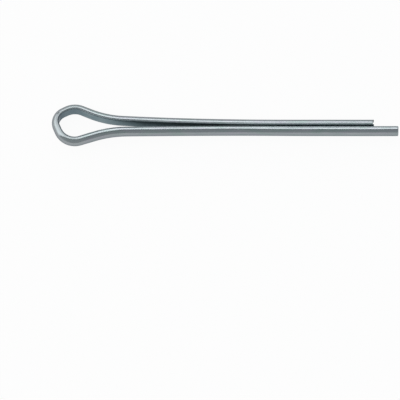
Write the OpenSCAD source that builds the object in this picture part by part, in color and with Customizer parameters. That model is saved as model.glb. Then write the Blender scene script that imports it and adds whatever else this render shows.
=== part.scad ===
// Retaining pin for disc brake pads: one length of half-round steel wire, bent back on
// itself so that the two flats face. The legs together make a round shank, the bend opens
// into an eye, and one leg stops short so that the pair can be prised apart.
// Units are millimetres. The wire's centre plane is XY and Z is up. The shank's axis is X,
// its tips point to +X, and the origin is where the shank becomes truly round.

/* [Wire] */
// Outside diameter of the closed shank
shank_d = 1.8; // [1.2:0.05:3.6]
// Gap between the two flats where the legs are parallel
slit = 0.15; // [0.02:0.01:0.4]
// Rounding radius of the wire's two long edges
edge_r = 0.15; // [0.06:0.01:0.4]

/* [Legs] */
// Long leg, from the origin to its tip
long_leg = 22.8; // [16:0.1:80]
// How far the short leg stops before the long one
leg_step = 2.7; // [0.5:0.1:8]
// Chamfer round the end of each leg
tip_chamfer = 0.08; // [0.02:0.01:0.2]
// Depth of the hollow that the cropping tool leaves in the short leg's end
crop_hollow = 0.12; // [0.02:0.01:0.25]
// Width of that hollow across the wire's thickness, which leaves a lip on each side
crop_width = 0.65; // [0.3:0.01:0.75]

/* [Sweep of the legs] */
// Radius of the slow sweep by which the short leg springs away from the axis
short_sweep_r = 350; // [150:5:600]
// Angle of that sweep
short_sweep_a = 2.9; // [0.5:0.1:3.5]
// Radius of the long leg's slow sweep
long_sweep_r = 500; // [150:5:800]
// Angle of that sweep
long_sweep_a = 0.8; // [0.2:0.1:2]

/* [Neck] */
// Radius of the neck bend on the short leg's side, measured to the flat
short_neck_r = 11; // [4:0.5:25]
// Angle of that bend
short_neck_a = 19.5; // [14:0.5:28]
// Radius of the neck bend on the long leg's side, measured to the flat
long_neck_r = 12.5; // [4:0.5:25]
// Angle of that bend
long_neck_a = 16.5; // [12:0.5:24]
// Straight wire between the long side's neck and its shoulder
long_flank = 1.7; // [0.4:0.1:4]

/* [Eye] */
// Inside radius of the shoulder on the short leg's side
short_shoulder_r = 1.7; // [0.8:0.05:3]
// Angle of that shoulder
short_shoulder_a = 49; // [35:1:70]
// Straight wire between that shoulder and the nose
short_cheek = 0.4; // [0.1:0.05:2]
// Inside radius of the nose of the eye
nose_r = 1.05; // [0.8:0.05:2]
// Straight wire between the nose and the long side's shoulder
long_cheek = 0.5; // [0.1:0.05:2]
// Inside radius of the shoulder on the long leg's side
long_shoulder_r = 1.55; // [0.8:0.05:3]
// Angle of that shoulder
long_shoulder_a = 85; // [65:1:95]

/* [Hidden] */

steel = [0.62, 0.65, 0.67];
crown_r = shank_d / 2;
wire_t = crown_r - slit / 2;
wire_facets = 56;
bend_step = 7;

// Centre of an edge's rounding: it touches the flat, and the crown from inside
edge_x = slit / 2 + edge_r;
edge_z = sqrt(pow(crown_r - edge_r, 2) - pow(edge_x, 2));
edge_a = atan2(edge_z, edge_x);

// Headings of the wire in its plane, in degrees, followed from the long leg's tip
h_long = 180 + long_sweep_a;
h_long_flank = h_long + long_neck_a;
h_long_cheek = h_long_flank - long_shoulder_a;
h_flank = -(short_neck_a + short_sweep_a);
h_short_cheek = h_flank + short_shoulder_a;
nose_a = h_long_cheek - h_short_cheek;

// How far a bend of radius r from heading a to heading b carries the wire along X and Y.
// r is negative where the heading falls.
function bend_x(r, a, b) = r * (sin(b) - sin(a));
function bend_y(r, a, b) = r * (cos(a) - cos(b));

// The wire leaves the long flat at -slit/2 and must come back to +slit/2, which sets the
// length of the straight flank on the short leg's side.
rise = bend_y(long_sweep_r, 180, h_long)
    + bend_y(long_neck_r, h_long, h_long_flank)
    + long_flank * sin(h_long_flank)
    + bend_y(-long_shoulder_r, h_long_flank, h_long_cheek)
    + long_cheek * sin(h_long_cheek)
    + bend_y(-nose_r, h_long_cheek, h_short_cheek)
    + short_cheek * sin(h_short_cheek)
    + bend_y(-short_shoulder_r, h_short_cheek, h_flank)
    + bend_y(short_neck_r, h_flank, -short_sweep_a)
    + bend_y(short_sweep_r, -short_sweep_a, 0);
short_flank = (rise - slit) / sin(-h_flank);

// Where the short leg becomes straight, along X
short_start = bend_x(long_sweep_r, 180, h_long)
    + bend_x(long_neck_r, h_long, h_long_flank)
    + long_flank * cos(h_long_flank)
    + bend_x(-long_shoulder_r, h_long_flank, h_long_cheek)
    + long_cheek * cos(h_long_cheek)
    + bend_x(-nose_r, h_long_cheek, h_short_cheek)
    + short_cheek * cos(h_short_cheek)
    + bend_x(-short_shoulder_r, h_short_cheek, h_flank)
    + short_flank * cos(h_flank)
    + bend_x(short_neck_r, h_flank, -short_sweep_a)
    + bend_x(short_sweep_r, -short_sweep_a, 0);
short_straight = long_leg - leg_step - short_start;

// Radius of the cropping tool's nose, from the hollow's width and depth
crop_r = (pow(crop_width / 2, 2) + pow(crop_hollow, 2)) / (2 * crop_hollow);

// Half-round section: flat on x = 0, crown towards +x, its circle centred on the shank axis
module wire_section() {
    translate([-slit / 2, 0]) {
        intersection() {
            circle(r = crown_r, $fn = wire_facets);
            polygon([
                [edge_x, 0],
                [edge_x, edge_z],
                2 * crown_r * [cos(edge_a), sin(edge_a)],
                [3 * crown_r, 0],
                2 * crown_r * [cos(edge_a), -sin(edge_a)],
                [edge_x, -edge_z]
            ]);
        }
        translate([edge_x, edge_z])
            circle(r = edge_r, $fn = 24);
        translate([edge_x, -edge_z])
            circle(r = edge_r, $fn = 24);
        translate([slit / 2, -edge_z])
            square([edge_r, 2 * edge_z]);
    }
}

// Puts its children at [x, y], turned by a degrees. The place is given as a coarse and a
// fine move, because a written number keeps only so many digits.
module onward(x, y, a) {
    coarse = [round(20 * x) / 20, round(20 * y) / 20, 0];
    translate(coarse)
        translate([x, y, 0] - coarse)
            rotate([0, 0, a])
                children();
}

// Each step below makes one length of wire from the local origin towards +Y, with the flat
// on x = 0 and the crown at +x, and puts its children at the far end of that length.
module straight(length) {
    translate([0, length, 0])
        rotate([90, 0, 0])
            linear_extrude(height = length)
                wire_section();
    translate([0, length, 0])
        children();
}

// Bend towards the flat, which is then the inside of the bend
module bend_to_flat(r, a) {
    translate([-r, 0, 0])
        rotate_extrude(angle = a, $fn = 360 / bend_step)
            translate([r, 0])
                wire_section();
    onward(r * (cos(a) - 1), r * sin(a), a)
        children();
}

// Bend towards the crown. The radius is still the flat's.
module bend_to_crown(r, a, pieces = 4) {
    mirror([1, 0, 0])
        translate([-r, 0, 0])
            rotate_extrude(angle = a, $fn = 360 * pieces / a)
                translate([r, 0])
                    mirror([1, 0])
                        wire_section();
    onward(r * (1 - cos(a)), r * sin(a), -a)
        children();
}

// What a chamfer takes off a square end at y = 0, with the wire running towards +Y
module end_chamfer() {
    cone_r = crown_r - tip_chamfer;
    reach = 2 * crown_r;
    translate([-slit / 2, 0, 0])
        rotate([-90, 0, 0])
            rotate_extrude($fn = wire_facets)
                polygon([
                    [0, -cone_r],
                    [reach, -cone_r],
                    [reach, reach - cone_r]
                ]);
    translate([0, 0, -reach])
        linear_extrude(height = 2 * reach)
            polygon([
                [-reach, tip_chamfer + reach],
                [-reach, -reach],
                [tip_chamfer + reach, -reach]
            ]);
}

// The long leg, cut square and chamfered at y = 0
module long_end(length) {
    difference() {
        straight(length);
        end_chamfer();
    }
    translate([0, length, 0])
        children();
}

// The short leg, which ends in a cropped and slightly hollow face at y = length
module short_end(length) {
    difference() {
        straight(length);
        translate([wire_t / 2, length + crop_r - crop_hollow, -shank_d])
            cylinder(r = crop_r, h = 2 * shank_d, $fn = 72);
    }
}

// The whole pin, bent from one wire in the order that the wire runs
module split_pin() {
    color(steel)
        translate([long_leg, -slit / 2, 0])
            rotate([180, 0, -90])
                long_end(long_leg)
                    bend_to_crown(long_sweep_r, long_sweep_a)
                    bend_to_crown(long_neck_r, long_neck_a)
                    straight(long_flank)
                    bend_to_flat(long_shoulder_r, long_shoulder_a)
                    straight(long_cheek)
                    bend_to_flat(nose_r, nose_a)
                    straight(short_cheek)
                    bend_to_flat(short_shoulder_r, short_shoulder_a)
                    straight(short_flank)
                    bend_to_crown(short_neck_r, short_neck_a)
                    bend_to_crown(short_sweep_r, short_sweep_a)
                    short_end(short_straight);
}

split_pin();
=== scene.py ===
"""Looks of a split retaining pin for disc brake pads: bright zinc over half-round steel wire."""
import math

import bmesh
import bpy
import numpy as np
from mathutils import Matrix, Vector


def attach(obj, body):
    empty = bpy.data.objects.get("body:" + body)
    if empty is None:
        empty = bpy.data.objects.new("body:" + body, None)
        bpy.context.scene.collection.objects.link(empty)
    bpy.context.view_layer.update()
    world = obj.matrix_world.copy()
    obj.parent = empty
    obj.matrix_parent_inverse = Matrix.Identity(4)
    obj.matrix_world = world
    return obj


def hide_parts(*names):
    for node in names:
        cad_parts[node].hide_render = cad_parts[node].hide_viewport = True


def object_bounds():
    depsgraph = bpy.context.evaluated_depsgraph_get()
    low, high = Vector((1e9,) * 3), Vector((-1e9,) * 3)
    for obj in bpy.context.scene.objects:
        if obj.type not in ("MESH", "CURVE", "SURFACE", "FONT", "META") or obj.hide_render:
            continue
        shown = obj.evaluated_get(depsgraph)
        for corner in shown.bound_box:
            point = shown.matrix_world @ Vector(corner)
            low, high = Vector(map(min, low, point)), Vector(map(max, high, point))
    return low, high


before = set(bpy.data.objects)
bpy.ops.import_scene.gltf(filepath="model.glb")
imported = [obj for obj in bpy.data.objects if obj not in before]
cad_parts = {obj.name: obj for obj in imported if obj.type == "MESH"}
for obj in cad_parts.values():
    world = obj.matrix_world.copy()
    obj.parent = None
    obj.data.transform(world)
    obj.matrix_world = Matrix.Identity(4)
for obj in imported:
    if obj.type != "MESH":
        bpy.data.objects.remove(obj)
cad_low, cad_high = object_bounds()

MM = 0.001

# ---------------------------------------------------------------- sizes
# The wire and its path, in millimetres and degrees, with the same values as the CAD source.
# A bend is its radius, measured to the flat, and its angle, negative where it turns towards the flat.
SHANK_D = 1.8
SLIT = 0.15
EDGE_R = 0.15
LONG_LEG = 22.8
LEG_STEP = 2.7
LONG_SWEEP = (500.0, 0.8)
LONG_NECK = (12.5, 16.5)
LONG_FLANK = 1.7
LONG_SHOULDER = (1.55, -85.0)
LONG_CHEEK = 0.5
NOSE_R = 1.05
SHORT_CHEEK = 0.4
SHORT_SHOULDER = (1.7, -49.0)
SHORT_NECK = (11.0, 19.5)
SHORT_SWEEP = (350.0, 2.9)

# The sizes from here on differ from the CAD source, or aren't in it. A bend of 1 mm radius presses the
# flat in by THINNING mm, and spreads it by about SPREADING of its width.
THINNING = 0.06
SPREADING = 0.006
# Length over which a bend eases into what is next to it, and the step in which that is worked out
EASE, EASE_STEP = 2.5, 0.05
# Height, middle and half length of the long leg's bow
BOW, BOW_AT, BOW_SPAN = 0.035, 5.0, 9.0
# Layers of ripple: height in mm on straight wire and what a bend of 1 mm radius adds, cells to 1 mm
# round and along the wire, shift round it, seed
RIPPLES = (
    (0.003, 0.0, 1.3, 0.22, 7, 3),
    (0.0015, 0.0, 3.1, 0.6, 0, 5),
    (0.000375, 0.0025, 6.0, 0.25, 11, 9),
)
# How far below the CAD model's surface the ripple has its middle, so that its crests hardly stand out
RIPPLE_INSET = 0.004
# Rounding of the two ends' rims
LONG_ROUND, SHORT_ROUND = 0.11, 0.03
# The groove that the cropping tool leaves in the short leg's end: depth, width, middle across the
# wire, how steep its sides are, and how far its lips stand out. It is wider and deeper than the CAD's.
CROP_HOLLOW = 0.15
CROP_WIDTH = 0.7
CROP_CENTRE = 0.45
CROP_STEEPNESS = 6
CROP_LIP = 0.04

CROWN_R = SHANK_D / 2
WIRE_T = CROWN_R - SLIT / 2
# Centre of an edge's rounding, measured from the centre of the crown's circle
EDGE_X = SLIT / 2 + EDGE_R
EDGE_Z = math.sqrt((CROWN_R - EDGE_R) ** 2 - EDGE_X**2)
# The nose's angle makes the whole wire turn half way round
OTHER_BENDS = (LONG_SWEEP, LONG_NECK, LONG_SHOULDER, SHORT_SHOULDER, SHORT_NECK, SHORT_SWEEP)
NOSE = (NOSE_R, -180 - sum(angle for _, angle in OTHER_BENDS))

# Points on the outline's crown, and on its flat and each of its edges
CROWN_POINTS, SIDE_POINTS = 72, 14
# Steps in which an end's rim is rounded, and the sizes of the rings that close its face
RIM_STEPS = 5
FACE_SCALES = (0.97, 0.9, 0.8, 0.7, 0.6, 0.5, 0.4, 0.3, 0.2, 0.1)
# The draw lines run on past a rim by this much to each ring, but no farther than the second number
PAST_STEP, PAST_END = 0.03, 0.15


# ---------------------------------------------------------------- shape
def way(angle):
    return np.array([math.cos(angle), math.sin(angle)])


def walk(short_flank):
    """Follow the wire's flat from the long leg's tip.

    Returns points in mm, headings in radians and curvatures, positive where it turns towards the flat.
    """
    points, headings, curvatures = [], [], []
    here, heading = np.array([LONG_LEG, -SLIT / 2]), math.pi

    def add(point, angle, curvature):
        points.append(point.copy())
        headings.append(angle)
        curvatures.append(curvature)

    def run(length, step):
        nonlocal here
        count = max(1, int(round(length / step)))
        for i in range(count):
            add(here + way(heading) * (length * i / count), heading, 0.0)
        here = here + way(heading) * length

    def bend(radius, angle, step):
        nonlocal here, heading
        side = math.copysign(math.pi / 2, angle)
        turn = math.radians(angle)
        count = max(4, int(round(radius * abs(turn) / step)))
        centre = here + radius * way(heading + side)
        for i in range(count):
            at = heading + turn * i / count
            add(centre - radius * way(at + side), at, -math.copysign(1 / radius, angle))
        heading += turn
        here = centre - radius * way(heading + side)

    run(LONG_LEG, step=0.4)
    bend(*LONG_SWEEP, step=0.4)
    bend(*LONG_NECK, step=0.25)
    run(LONG_FLANK, step=0.2)
    bend(*LONG_SHOULDER, step=0.07)
    run(LONG_CHEEK, step=0.1)
    bend(*NOSE, step=0.05)
    run(SHORT_CHEEK, step=0.1)
    bend(*SHORT_SHOULDER, step=0.07)
    run(short_flank, step=0.2)
    bend(*SHORT_NECK, step=0.25)
    bend(*SHORT_SWEEP, step=0.4)
    run(LONG_LEG - LEG_STEP - here[0], step=0.4)
    add(here, heading, 0.0)
    return np.array(points), np.array(headings), np.array(curvatures)


def wire_path():
    """The whole path. Its short flank is as long as brings the short leg back to its side of the slit."""
    end_y = walk(0.0)[0][-1, 1]
    flank_angle = math.radians(SHORT_NECK[1] + SHORT_SWEEP[1])
    return walk((end_y - SLIT / 2) / math.sin(flank_angle))


def wire_section():
    """Half-round outline as (u, z) in mm, with u measured from the flat, and its outward normals."""
    end = math.atan2(EDGE_Z, EDGE_X)
    crown = np.linspace(-end, end, CROWN_POINTS)
    outline = [(CROWN_R * math.cos(a), CROWN_R * math.sin(a), a) for a in crown]
    for a in np.linspace(end, math.pi, SIDE_POINTS)[1:]:
        outline.append((EDGE_X + EDGE_R * math.cos(a), EDGE_Z + EDGE_R * math.sin(a), a))
    for z in np.linspace(EDGE_Z, -EDGE_Z, SIDE_POINTS)[1:]:
        outline.append((SLIT / 2, z, math.pi))
    for a in np.linspace(math.pi, 2 * math.pi - end, SIDE_POINTS)[1:-1]:
        outline.append((EDGE_X + EDGE_R * math.cos(a), -EDGE_Z + EDGE_R * math.sin(a), a))
    x, z, angle = np.array(outline).T
    return np.stack([x - SLIT / 2, z], 1), np.stack([np.cos(angle), np.sin(angle)], 1)


def value_noise(x, y, seed):
    """Smooth noise from -1 to 1 on a grid of one unit."""
    size = 256
    table = np.random.default_rng(seed).uniform(-1, 1, (size, size))
    xi, yi = np.floor(x).astype(int), np.floor(y).astype(int)
    fx, fy = x - xi, y - yi
    fx, fy = fx * fx * (3 - 2 * fx), fy * fy * (3 - 2 * fy)

    def at(i, j):
        return table[i % size, j % size]

    low = at(xi, yi) * (1 - fx) + at(xi + 1, yi) * fx
    high = at(xi, yi + 1) * (1 - fx) + at(xi + 1, yi + 1) * fx
    return low * (1 - fy) + high * fy


def fade(x, start, end):
    """0 on start's side and 1 on end's, with an even slope between the two."""
    return np.clip((x - start) / (end - start), 0, 1)


def build_wire(outline, normal):
    """Rings of the wire in mm, with their places along it and how tightly it bends towards its flat."""
    points, headings, curvatures = wire_path()
    lengths = np.concatenate([[0], np.cumsum(np.linalg.norm(np.diff(points, axis=0), axis=1))])
    even = np.arange(0, lengths[-1], EASE_STEP)
    window = np.hanning(round(EASE / EASE_STEP) + 1)
    eased = np.convolve(np.interp(even, lengths, curvatures), window / window.sum(), mode="same")
    inward = np.clip(np.interp(lengths, even, eased), 0, 1)
    # The long leg bows a hair towards the other one
    leg_x = (points[:, 0] - BOW_AT) / BOW_SPAN
    bow = BOW * np.where(np.abs(leg_x) < 1, np.cos(leg_x * math.pi / 2) ** 2, 0)
    points[:, 1] += np.where(points[:, 1] < 0, bow, 0)

    along = lengths[:, None]
    around = np.concatenate([[0], np.cumsum(np.linalg.norm(np.diff(outline, axis=0), axis=1))])[None, :]
    tight = inward[:, None]
    ripple = -RIPPLE_INSET
    for height, bend_height, cells_round, cells_along, shift, seed in RIPPLES:
        noise = value_noise(around * cells_round + shift, along * cells_along, seed)
        ripple = ripple + (height + bend_height * tight) * noise

    # A tight bend presses the flat side in, and spreads it sideways while the crown side narrows
    u, z = outline.T[:, None, :]
    flatness = 1 - u / WIRE_T
    u = u + THINNING * tight * flatness + normal[:, 0] * ripple
    z = z * (1 + SPREADING * tight * (2 * flatness - 0.6)) + normal[:, 1] * ripple
    out = headings[:, None] + math.pi / 2
    rings = np.stack([points[:, :1] + u * np.cos(out), points[:, 1:] + u * np.sin(out), z], 2)
    return rings, lengths, inward


def crop_depth(ring):
    """How deep the cropping tool's groove is at each point of the short leg's end, in mm."""
    across = (ring[:, 1] - CROP_CENTRE) / (CROP_WIDTH / 2)
    return CROP_HOLLOW * np.clip(1 - across**CROP_STEEPNESS, 0, 1) - CROP_LIP


def end_rings(ring, normal, round_r, hollow):
    """Rings that round the rim of an end, which faces +X, and close its face, and its middle point."""
    centre = ring.mean(axis=0)
    made = []
    for a in np.linspace(0, math.pi / 2, RIM_STEPS + 1)[1:]:
        r = ring - normal * (round_r * (1 - math.cos(a)))
        r[:, 0] = ring[:, 0] - round_r * (1 - math.sin(a))
        made.append(r)
    rim = made[-1].copy()
    for scale in FACE_SCALES:
        r = centre + (rim - centre) * [1, scale, scale]
        r[:, 0] = rim[:, 0]
        made.append(r)
    if hollow:
        for r in made:
            r[:, 0] -= crop_depth(r)
    return made, made[-1].mean(axis=0)


def tube_faces(n_rings, n_around):
    """Quads between the rings, and a fan at each end, round the two points that follow the rings."""
    sides = [(j, (j + 1) % n_around) for j in range(n_around)]
    last, end = (n_rings - 1) * n_around, n_rings * n_around
    faces = []
    for a in range(0, last, n_around):
        b = a + n_around
        faces += [(a + j, b + j, b + k, a + k) for j, k in sides]
    for j, k in sides:
        faces += [(end, j, k), (end + 1, last + k, last + j)]
    return faces


def build_mesh():
    """The wire as one closed mesh, with what its material needs to know stored on its points."""
    outline, normal = wire_section()
    wire_rings, lengths, inward = build_wire(outline, normal)
    n_around = len(outline)

    # The long leg's crown faces -Y, the short leg's +Y
    long_normal = np.stack([0 * normal[:, 0], -normal[:, 0], normal[:, 1]], 1)
    long_end, long_tip = end_rings(wire_rings[0], long_normal, LONG_ROUND, False)
    short_end, short_tip = end_rings(wire_rings[-1], long_normal * [1, -1, 1], SHORT_ROUND, True)
    wire_rings[0, :, 0] -= LONG_ROUND
    wire_rings[-1, :, 0] -= SHORT_ROUND + crop_depth(wire_rings[-1])
    rings = [*reversed(long_end), *wire_rings, *short_end]
    capped = len(long_end)

    mesh = bpy.data.meshes.new("split_pin_wire")
    corners = np.vstack([*rings, long_tip[None], short_tip[None]]) * MM
    mesh.from_pydata([tuple(c) for c in corners], [], tube_faces(len(rings), n_around))
    bm = bmesh.new()
    bm.from_mesh(mesh)
    bmesh.ops.recalc_face_normals(bm, faces=bm.faces)
    bm.to_mesh(mesh)
    bm.free()
    mesh.update()
    for polygon in mesh.polygons:
        polygon.use_smooth = True

    def by_ring(values):
        """One value to each ring; the two points in the middle of the ends take their rings' values."""
        return np.concatenate([np.repeat(values, n_around), [values[0], values[-1]]])

    def on_wire(values):
        """One value to each point of the wire's own rings, and 0 on the ends."""
        ends = np.zeros(capped * n_around)
        return np.concatenate([ends, values.ravel(), ends, [0, 0]])

    # The draw lines run on a little past each rim, where the surface turns into cut metal
    past = np.minimum(np.arange(1, capped + 1) * PAST_STEP, PAST_END)
    along = [*reversed(-past), *lengths, *(lengths[-1] + past)]
    cut_end = [0.0, 0.0, 0.2, 0.6] + [1.0] * (capped - 4)
    cut = [*reversed(cut_end)] + [0.0] * len(wire_rings) + cut_end
    bent = [0.0] * capped + list(inward) + [0.0] * capped
    turn = np.tile(np.arange(n_around) / n_around * 2 * math.pi, len(rings))

    # Where the outline faces the other leg, and its two edges, which lie between that and the crown
    outwards = normal[:, 0]
    facing = fade(-outwards, 0.1875, 0.8125)
    crown_end = EDGE_X / (CROWN_R - EDGE_R)
    edges = fade(outwards, crown_end - 0.1, crown_end - 0.35) * fade(outwards, -1, -5 / 6)
    x, y = wire_rings[:, 0, 0], wire_rings[:, 0, 1]
    in_legs = fade(x, -6, -3)
    # The edges are worn all along the long leg's side, and only at the eye on the other
    worn = edges * np.where(y < -0.1, 0.6 - 0.3 * in_legs, 1 - in_legs)[:, None]
    # So is the flat's lower part inside the tight bends
    low_flat = fade(-outwards, 0.9, 1.0) * fade(-wire_rings[0, :, 2], 0.05, 0.55)
    worn = worn + 0.5 * low_flat * inward[:, None]
    # Where the legs close, the flat gets painted shade and is dull; towards the tips it is less so
    in_slit = fade(x, -9.5, -5) - 0.8 * fade(x, 2, 7)

    for name, values in (
        ("along_mm", by_ring(along)),
        ("turn", np.concatenate([turn, [0, 0]])),
        ("cut", by_ring(cut)),
        ("bent", by_ring(bent)),
        ("flat", on_wire(np.tile(facing, len(wire_rings)))),
        ("edge", on_wire(worn)),
        ("slit_shade_and_dull", by_ring([in_slit[0]] * capped + list(in_slit) + [in_slit[-1]] * capped)),
        ("soft", on_wire(edges * in_legs[:, None])),
    ):
        mesh.attributes.new(name, "FLOAT", "POINT").data.foreach_set("value", values.astype(np.float32))
    return mesh


mesh = build_mesh()
wire = bpy.data.objects.new("split_pin_wire", mesh)
bpy.context.scene.collection.objects.link(wire)


# ---------------------------------------------------------------- material
# Zinc over the crown: between and on the draw lines, in dull patches, with two casts of colour, and
# stretched over the tight bends, where the draw lines open
PLATE_LOW, PLATE_HIGH = (0.265, 0.293, 0.307), (0.342, 0.367, 0.379)
PLATE_DULL = (0.264, 0.3, 0.318)
PLATE_GREEN, PLATE_LILAC = (0.262, 0.317, 0.311), (0.308, 0.315, 0.348)
PLATE_STRETCHED, PLATE_OPENED = (0.377, 0.403, 0.414), (0.202, 0.224, 0.232)
WORN_EDGE = (0.12, 0.133, 0.142)
PIT = (0.19, 0.215, 0.225)
# Zinc on the flat, with painted shade for the shaded floor that it mirrors: its two tones, inside the tight
# bends, and where the legs close
FLAT_SHADED_LOW, FLAT_SHADED_HIGH = (0.216, 0.288, 0.312), (0.296, 0.356, 0.372)
FLAT_BEND_SHADE = (0.12, 0.154, 0.182)
FLAT_SLIT_SHADE = (0.092, 0.131, 0.143)
# Cropped ends
CUT_LOW, CUT_HIGH = (0.25, 0.275, 0.285), (0.37, 0.395, 0.40)
CUT_TORN = (0.215, 0.24, 0.25)
# Tint of what the metal mirrors at grazing angles, held down to keep the outline dark
EDGE_TINT = (0.45, 0.48, 0.5)
# Roughness where the two sets of draw lines are low and high
ROUGH_LOW, ROUGH_HIGH = 0.22, 0.13
BUMP_STRENGTH, BUMP_DISTANCE = 0.35, 0.000012
# Radius of the circle that stands for the outline in the pattern's space
PATTERN_R = 0.8


class Net:
    """Short ways to add and join the shader nodes of a new material."""

    def __init__(self, name):
        self.material = bpy.data.materials.new(name)
        self.material.use_nodes = True
        self.tree = self.material.node_tree
        self.tree.nodes.clear()

    def node(self, kind, **settings):
        n = self.tree.nodes.new(kind)
        for key, value in settings.items():
            setattr(n, key, value)
        return n

    def link(self, a, b):
        self.tree.links.new(a, b)

    def surface(self, shader):
        self.link(shader, self.node("ShaderNodeOutputMaterial").inputs["Surface"])
        return self.material

    def put(self, socket, value):
        if hasattr(value, "is_output"):
            self.link(value, socket)
        else:
            socket.default_value = value

    def math(self, operation, a, b=0.0, c=0.0, clamp=False):
        n = self.node("ShaderNodeMath", operation=operation, use_clamp=clamp)
        for socket, value in zip(n.inputs, (a, b, c)):
            self.put(socket, value)
        return n.outputs[0]

    def times(self, a, b, **more):
        return self.math("MULTIPLY", a, b, **more)

    def add_times(self, a, b, c, **more):
        """a * b + c"""
        return self.math("MULTIPLY_ADD", a, b, c, **more)

    def attribute(self, name):
        return self.node("ShaderNodeAttribute", attribute_name=name).outputs["Fac"]

    def vector(self, x, y, z):
        n = self.node("ShaderNodeCombineXYZ")
        for socket, value in zip(n.inputs, (x, y, z)):
            self.put(socket, value)
        return n.outputs[0]

    def noise(self, vector, scale, detail, roughness):
        n = self.node("ShaderNodeTexNoise")
        self.link(vector, n.inputs["Vector"])
        n.inputs["Scale"].default_value = scale
        n.inputs["Detail"].default_value = detail
        n.inputs["Roughness"].default_value = roughness
        return n.outputs["Fac"]

    def mix(self, factor, a, b):
        n = self.node("ShaderNodeMix", data_type="RGBA")
        self.put(n.inputs[0], factor)
        for socket, value in ((n.inputs[6], a), (n.inputs[7], b)):
            self.put(socket, value if hasattr(value, "is_output") else (*value, 1.0))
        return n.outputs[2]

    def ramp(self, factor, low, high):
        """From high[0] where the factor is low[0] to high[1] where it is low[1]."""
        n = self.node("ShaderNodeMapRange")
        n.clamp = True
        self.put(n.inputs[0], factor)
        n.inputs[1].default_value, n.inputs[2].default_value = low
        n.inputs[3].default_value, n.inputs[4].default_value = high
        return n.outputs[0]


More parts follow.
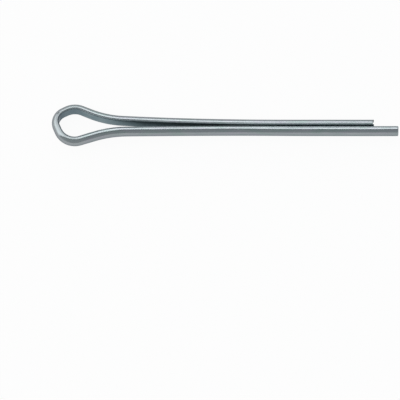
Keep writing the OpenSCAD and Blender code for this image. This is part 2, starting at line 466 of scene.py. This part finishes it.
def zinc_material():
    """Bright zinc over drawn wire: lengthwise draw lines, faint casts of colour, mottling, small pits."""
    net = Net("zinc_plated_steel")
    along, turn = net.attribute("along_mm"), net.attribute("turn")
    cut, bent, flat = net.attribute("cut"), net.attribute("bent"), net.attribute("flat")
    worn, slit_shade_and_dull, soft = net.attribute("edge"), net.attribute("slit_shade_and_dull"), net.attribute("soft")
    # The wire's outline is taken as a circle, so the pattern closes round it. Only in the last face of each
    # ring, a strip 0.02 mm wide in one edge's rounding, is it out of step.
    ring_x = net.times(net.math("COSINE", turn), PATTERN_R)
    ring_y = net.times(net.math("SINE", turn), PATTERN_R)

    def along_wire(step, **noise):
        """Noise that moves by step for 1 mm along the wire, so a small step draws it out into lines."""
        return net.noise(net.vector(ring_x, ring_y, net.times(along, step)), **noise)

    fine_lines = along_wire(0.02, scale=34.0, detail=3.0, roughness=0.6)
    draw_lines = along_wire(0.035, scale=9.0, detail=3.0, roughness=0.6)
    grain = along_wire(0.6, scale=16.0, detail=4.0, roughness=0.65)
    mottle = along_wire(0.45, scale=2.2, detail=4.0, roughness=0.6)
    drift = along_wire(0.3, scale=1.6, detail=2.0, roughness=0.5)
    pit = net.ramp(along_wire(0.9, scale=9.0, detail=1.0, roughness=0.4), (0.665, 0.76), (0.0, 0.4))
    opened = net.ramp(along_wire(0.03, scale=4.5, detail=1.0, roughness=0.4), (0.48, 0.6), (0.0, 1.2))
    lines = net.add_times(fine_lines, 0.4, net.times(draw_lines, 0.6))

    # Colour of the crown, and of the long edges, which are rough and duller
    plate = net.mix(net.ramp(lines, (0.35, 0.65), (0.0, 1.0)), PLATE_LOW, PLATE_HIGH)
    plate = net.mix(net.ramp(mottle, (0.40, 0.66), (0.0, 0.6)), plate, PLATE_DULL)
    plate = net.mix(net.ramp(drift, (0.52, 0.64), (0.0, 0.8)), plate, PLATE_GREEN)
    plate = net.mix(net.ramp(drift, (0.48, 0.36), (0.0, 0.8)), plate, PLATE_LILAC)
    plate = net.mix(net.times(bent, 0.7), plate, PLATE_STRETCHED)
    plate = net.mix(net.times(opened, bent, clamp=True), plate, PLATE_OPENED)
    plate = net.mix(net.times(worn, 0.9), plate, WORN_EDGE)
    # The flat is darker and bluer with painted shade, most of all inside the tight bends and where the legs
    # close
    shaded_flat_plate = net.mix(net.ramp(mottle, (0.38, 0.62), (0.0, 1.0)), FLAT_SHADED_LOW, FLAT_SHADED_HIGH)
    shaded_flat_plate = net.mix(net.times(bent, 1.1, clamp=True), shaded_flat_plate, FLAT_BEND_SHADE)
    shaded_flat_plate = net.mix(slit_shade_and_dull, shaded_flat_plate, FLAT_SLIT_SHADE)
    plate = net.mix(net.times(flat, 0.9), plate, shaded_flat_plate)
    plate = net.mix(pit, plate, PIT)

    # A cropped face: streaks across the wire, then a torn band. Both are laid out in millimetres.
    split = net.node("ShaderNodeSeparateXYZ")
    net.link(net.node("ShaderNodeTexCoord").outputs["Object"], split.inputs[0])
    across, up = (net.times(split.outputs[axis], 1 / MM) for axis in ("Y", "Z"))
    streaks = net.noise(net.vector(net.times(across, 0.12), up, 0.0), scale=16.0, detail=3.0, roughness=0.6)
    tear = net.noise(net.vector(across, up, 0.0), scale=9.0, detail=4.0, roughness=0.7)
    torn = net.ramp(net.add_times(tear, 0.3, net.math("ABSOLUTE", across)), (0.58, 0.72), (0.0, 1.0))
    face = net.mix(torn, net.mix(streaks, CUT_LOW, CUT_HIGH), CUT_TORN)

    rough = net.ramp(lines, (0.35, 0.65), (ROUGH_LOW, ROUGH_HIGH))
    for amount, of in (
        (0.14, net.math("SUBTRACT", mottle, 0.5)),
        (0.2, pit),
        (0.15, worn),
        (0.32, soft),
        (0.35, net.times(slit_shade_and_dull, flat)),
    ):
        rough = net.add_times(of, amount, rough)
    rough = net.add_times(net.add_times(torn, 0.18, 0.12), cut, rough, clamp=True)

    # Relief, in shares of the bump's distance
    height = net.times(draw_lines, 0.9)
    for amount, of in ((0.35, fine_lines), (0.2, mottle), (0.07, grain), (-0.2, pit)):
        height = net.add_times(of, amount, height)
    face_height = net.add_times(net.times(tear, torn), 2.5, net.times(streaks, 1.2))
    height = net.add_times(net.math("SUBTRACT", face_height, height), cut, height)
    bump = net.node("ShaderNodeBump")
    bump.inputs["Strength"].default_value = BUMP_STRENGTH
    bump.inputs["Distance"].default_value = BUMP_DISTANCE
    net.link(height, bump.inputs["Height"])

    shader = net.node("ShaderNodeBsdfPrincipled")
    shader.inputs["Metallic"].default_value = 1.0
    shader.inputs["Specular Tint"].default_value = (*EDGE_TINT, 1)
    net.link(net.mix(cut, plate, face), shader.inputs["Base Color"])
    net.link(rough, shader.inputs["Roughness"])
    net.link(bump.outputs[0], shader.inputs["Normal"])
    return net.surface(shader.outputs[0])


mesh.materials.append(zinc_material())
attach(wire, "root")
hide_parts("split_pin")

# ---------------------------------------------------------------- floor
FLOOR_HALF = 3.0
PAPER = 0.62
# Share of plain white in the floor that is seen or mirrored. The rest is lit paper, which keeps the shadow.
SEEN_WHITE = 0.94


def floor_material():
    net = Net("paper")
    diffuse = net.node("ShaderNodeBsdfDiffuse")
    diffuse.inputs["Color"].default_value = (PAPER, PAPER, PAPER, 1)
    glow = net.node("ShaderNodeEmission")
    glow.inputs["Strength"].default_value = 1.0
    path = net.node("ShaderNodeLightPath")
    seen = path.outputs["Is Camera Ray"]
    for ray in ("Is Glossy Ray", "Is Transmission Ray"):
        seen = net.math("ADD", seen, path.outputs[ray], clamp=True)
    blend = net.node("ShaderNodeMixShader")
    share = net.times(seen, SEEN_WHITE)
    for socket, value in zip(blend.inputs, (share, diffuse.outputs[0], glow.outputs[0])):
        net.link(value, socket)
    return net.surface(blend.outputs[0])


floor_mesh = bpy.data.meshes.new("floor")
square = ((-1, -1), (1, -1), (1, 1), (-1, 1))
floor_corners = [(x * FLOOR_HALF, y * FLOOR_HALF, cad_low.z) for x, y in square]
floor_mesh.from_pydata(floor_corners, [], [(0, 1, 2, 3)])
floor_mesh.materials.append(floor_material())
floor = bpy.data.objects.new("floor", floor_mesh)
bpy.context.scene.collection.objects.link(floor)

# ---------------------------------------------------------------- light
WORLD_COLOUR, WORLD_STRENGTH = (0.9, 0.98, 1.0), 0.4
# name, azimuth (0 is behind the pin, 90 its tips), elevation, spread across and up in degrees, radiance
BOXES = (
    ("back", 0, 18.6, 64, 26, 2.07),
    ("overhead", 180, 66.5, 50, 21, 2.22),
    ("left", -77, 35.5, 76, 69, 1.6),
    ("right", 60, 35, 60, 60, 0.5),
    ("front", 180, 20, 110, 38, 0.17),
)
BOX_DISTANCE = 0.8

world = bpy.data.worlds.new("studio")
bpy.context.scene.world = world
world.use_nodes = True
sky = world.node_tree.nodes["Background"]
sky.inputs["Color"].default_value = (*WORLD_COLOUR, 1)
sky.inputs["Strength"].default_value = WORLD_STRENGTH

for name, azimuth, elevation, across, up, radiance in BOXES:
    a, e = math.radians(azimuth), math.radians(elevation)
    place = Vector((math.sin(a) * math.cos(e), math.cos(a) * math.cos(e), math.sin(e)))
    lamp = bpy.data.lights.new(name + "_box", "AREA")
    lamp.shape = "RECTANGLE"
    lamp.size = 2 * BOX_DISTANCE * math.tan(math.radians(across / 2))
    lamp.size_y = 2 * BOX_DISTANCE * math.tan(math.radians(up / 2))
    lamp.energy = radiance * math.pi * lamp.size * lamp.size_y
    box = bpy.data.objects.new(name + "_box", lamp)
    box.location = place * BOX_DISTANCE
    box.rotation_mode = "QUATERNION"
    box.rotation_quaternion = place.to_track_quat("Z", "Y")
    bpy.context.scene.collection.objects.link(box)

# ---------------------------------------------------------------- camera
ELEVATION = 69.0
PX_PER_MM = 9.13
DISTANCE = 0.6
HALF_IMAGE = 200
# Where the shank's axis and its start are seen, in pixels of the photograph, which is 400 by 400
AXIS_Y, START_X = 127.92, 190.0

focal_px = PX_PER_MM * DISTANCE / MM
lens = bpy.data.cameras.new("camera")
lens.sensor_width = 36.0
lens.lens = lens.sensor_width * focal_px / (2 * HALF_IMAGE)
camera = bpy.data.objects.new("camera", lens)
bpy.context.scene.collection.objects.link(camera)
e = math.radians(ELEVATION)
camera.location = ((HALF_IMAGE - START_X) / PX_PER_MM * MM, -DISTANCE * math.cos(e), DISTANCE * math.sin(e))
# The pin lies above the middle of the picture, so the camera looks a little lower than the pin
tilt = e + math.atan((HALF_IMAGE - AXIS_Y) / focal_px)
camera.rotation_euler = (math.pi / 2 - tilt, 0, 0)
bpy.context.scene.camera = camera
bpy.context.scene.view_settings.view_transform = "Standard"

bpy.context.view_layer.update()
